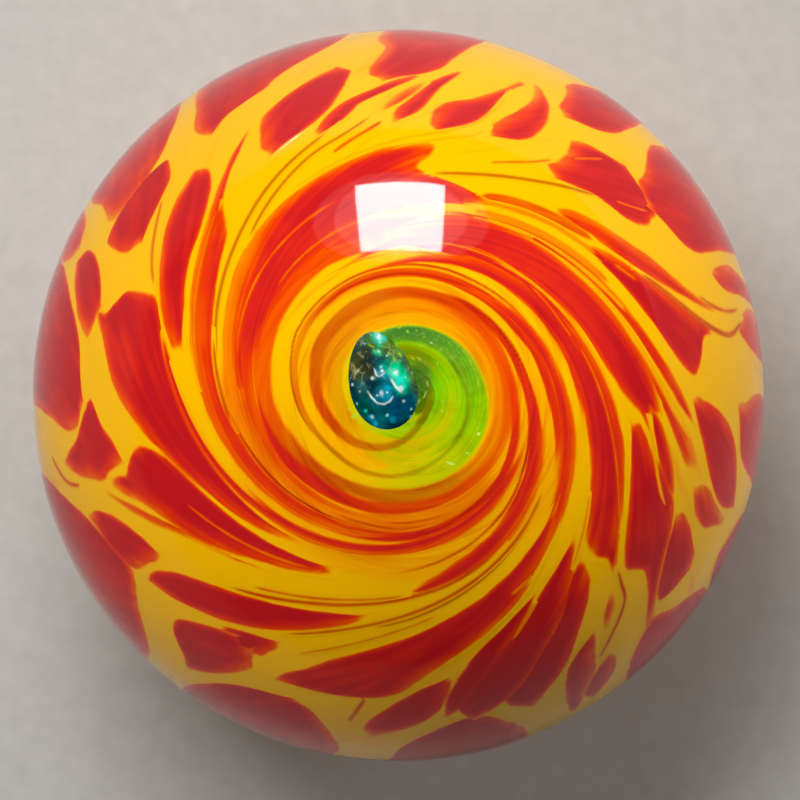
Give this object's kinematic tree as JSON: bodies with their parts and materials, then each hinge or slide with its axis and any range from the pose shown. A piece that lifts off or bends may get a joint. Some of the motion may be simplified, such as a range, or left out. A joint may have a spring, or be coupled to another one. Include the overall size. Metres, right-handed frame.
{
  "type": "glass marble",
  "caption": "Solid art-glass marble: yellow glass with crimson frit swirled round one pole into scarlet arms and amber streaks, and a teal chip in a green veil.",
  "frame": {"origin": "centre of the ball", "axes": "+Z along the axis of the swirl, out through the pole with the teal chip; +X and +Y square to it, with the teal chip lying towards -X and +Y from the pole"},
  "size_m": [0.038, 0.038, 0.038],
  "materials": {
    "yellow_glass": "opaque yellow glass, fire-polished",
    "crimson_glass": "crimson glass frit melted flush over yellow, fire-polished",
    "scarlet_glass": "the same red glass drawn thinner, fire-polished",
    "amber_glass": "red glass drawn to a film over yellow, fire-polished",
    "green_glass": "green tinted glass over yellow, fire-polished",
    "dichroic_glass": "teal dichroic glass with a crinkled metallic film under clear glass"
  },
  "bodies": {
    "root": {"yellow_ground": "yellow_glass", "crimson_frit": "crimson_glass", "scarlet_arms": "scarlet_glass", "amber_streaks": "amber_glass", "green_veil": "green_glass", "teal_chip": "dichroic_glass"}
  },
  "joints": []
}
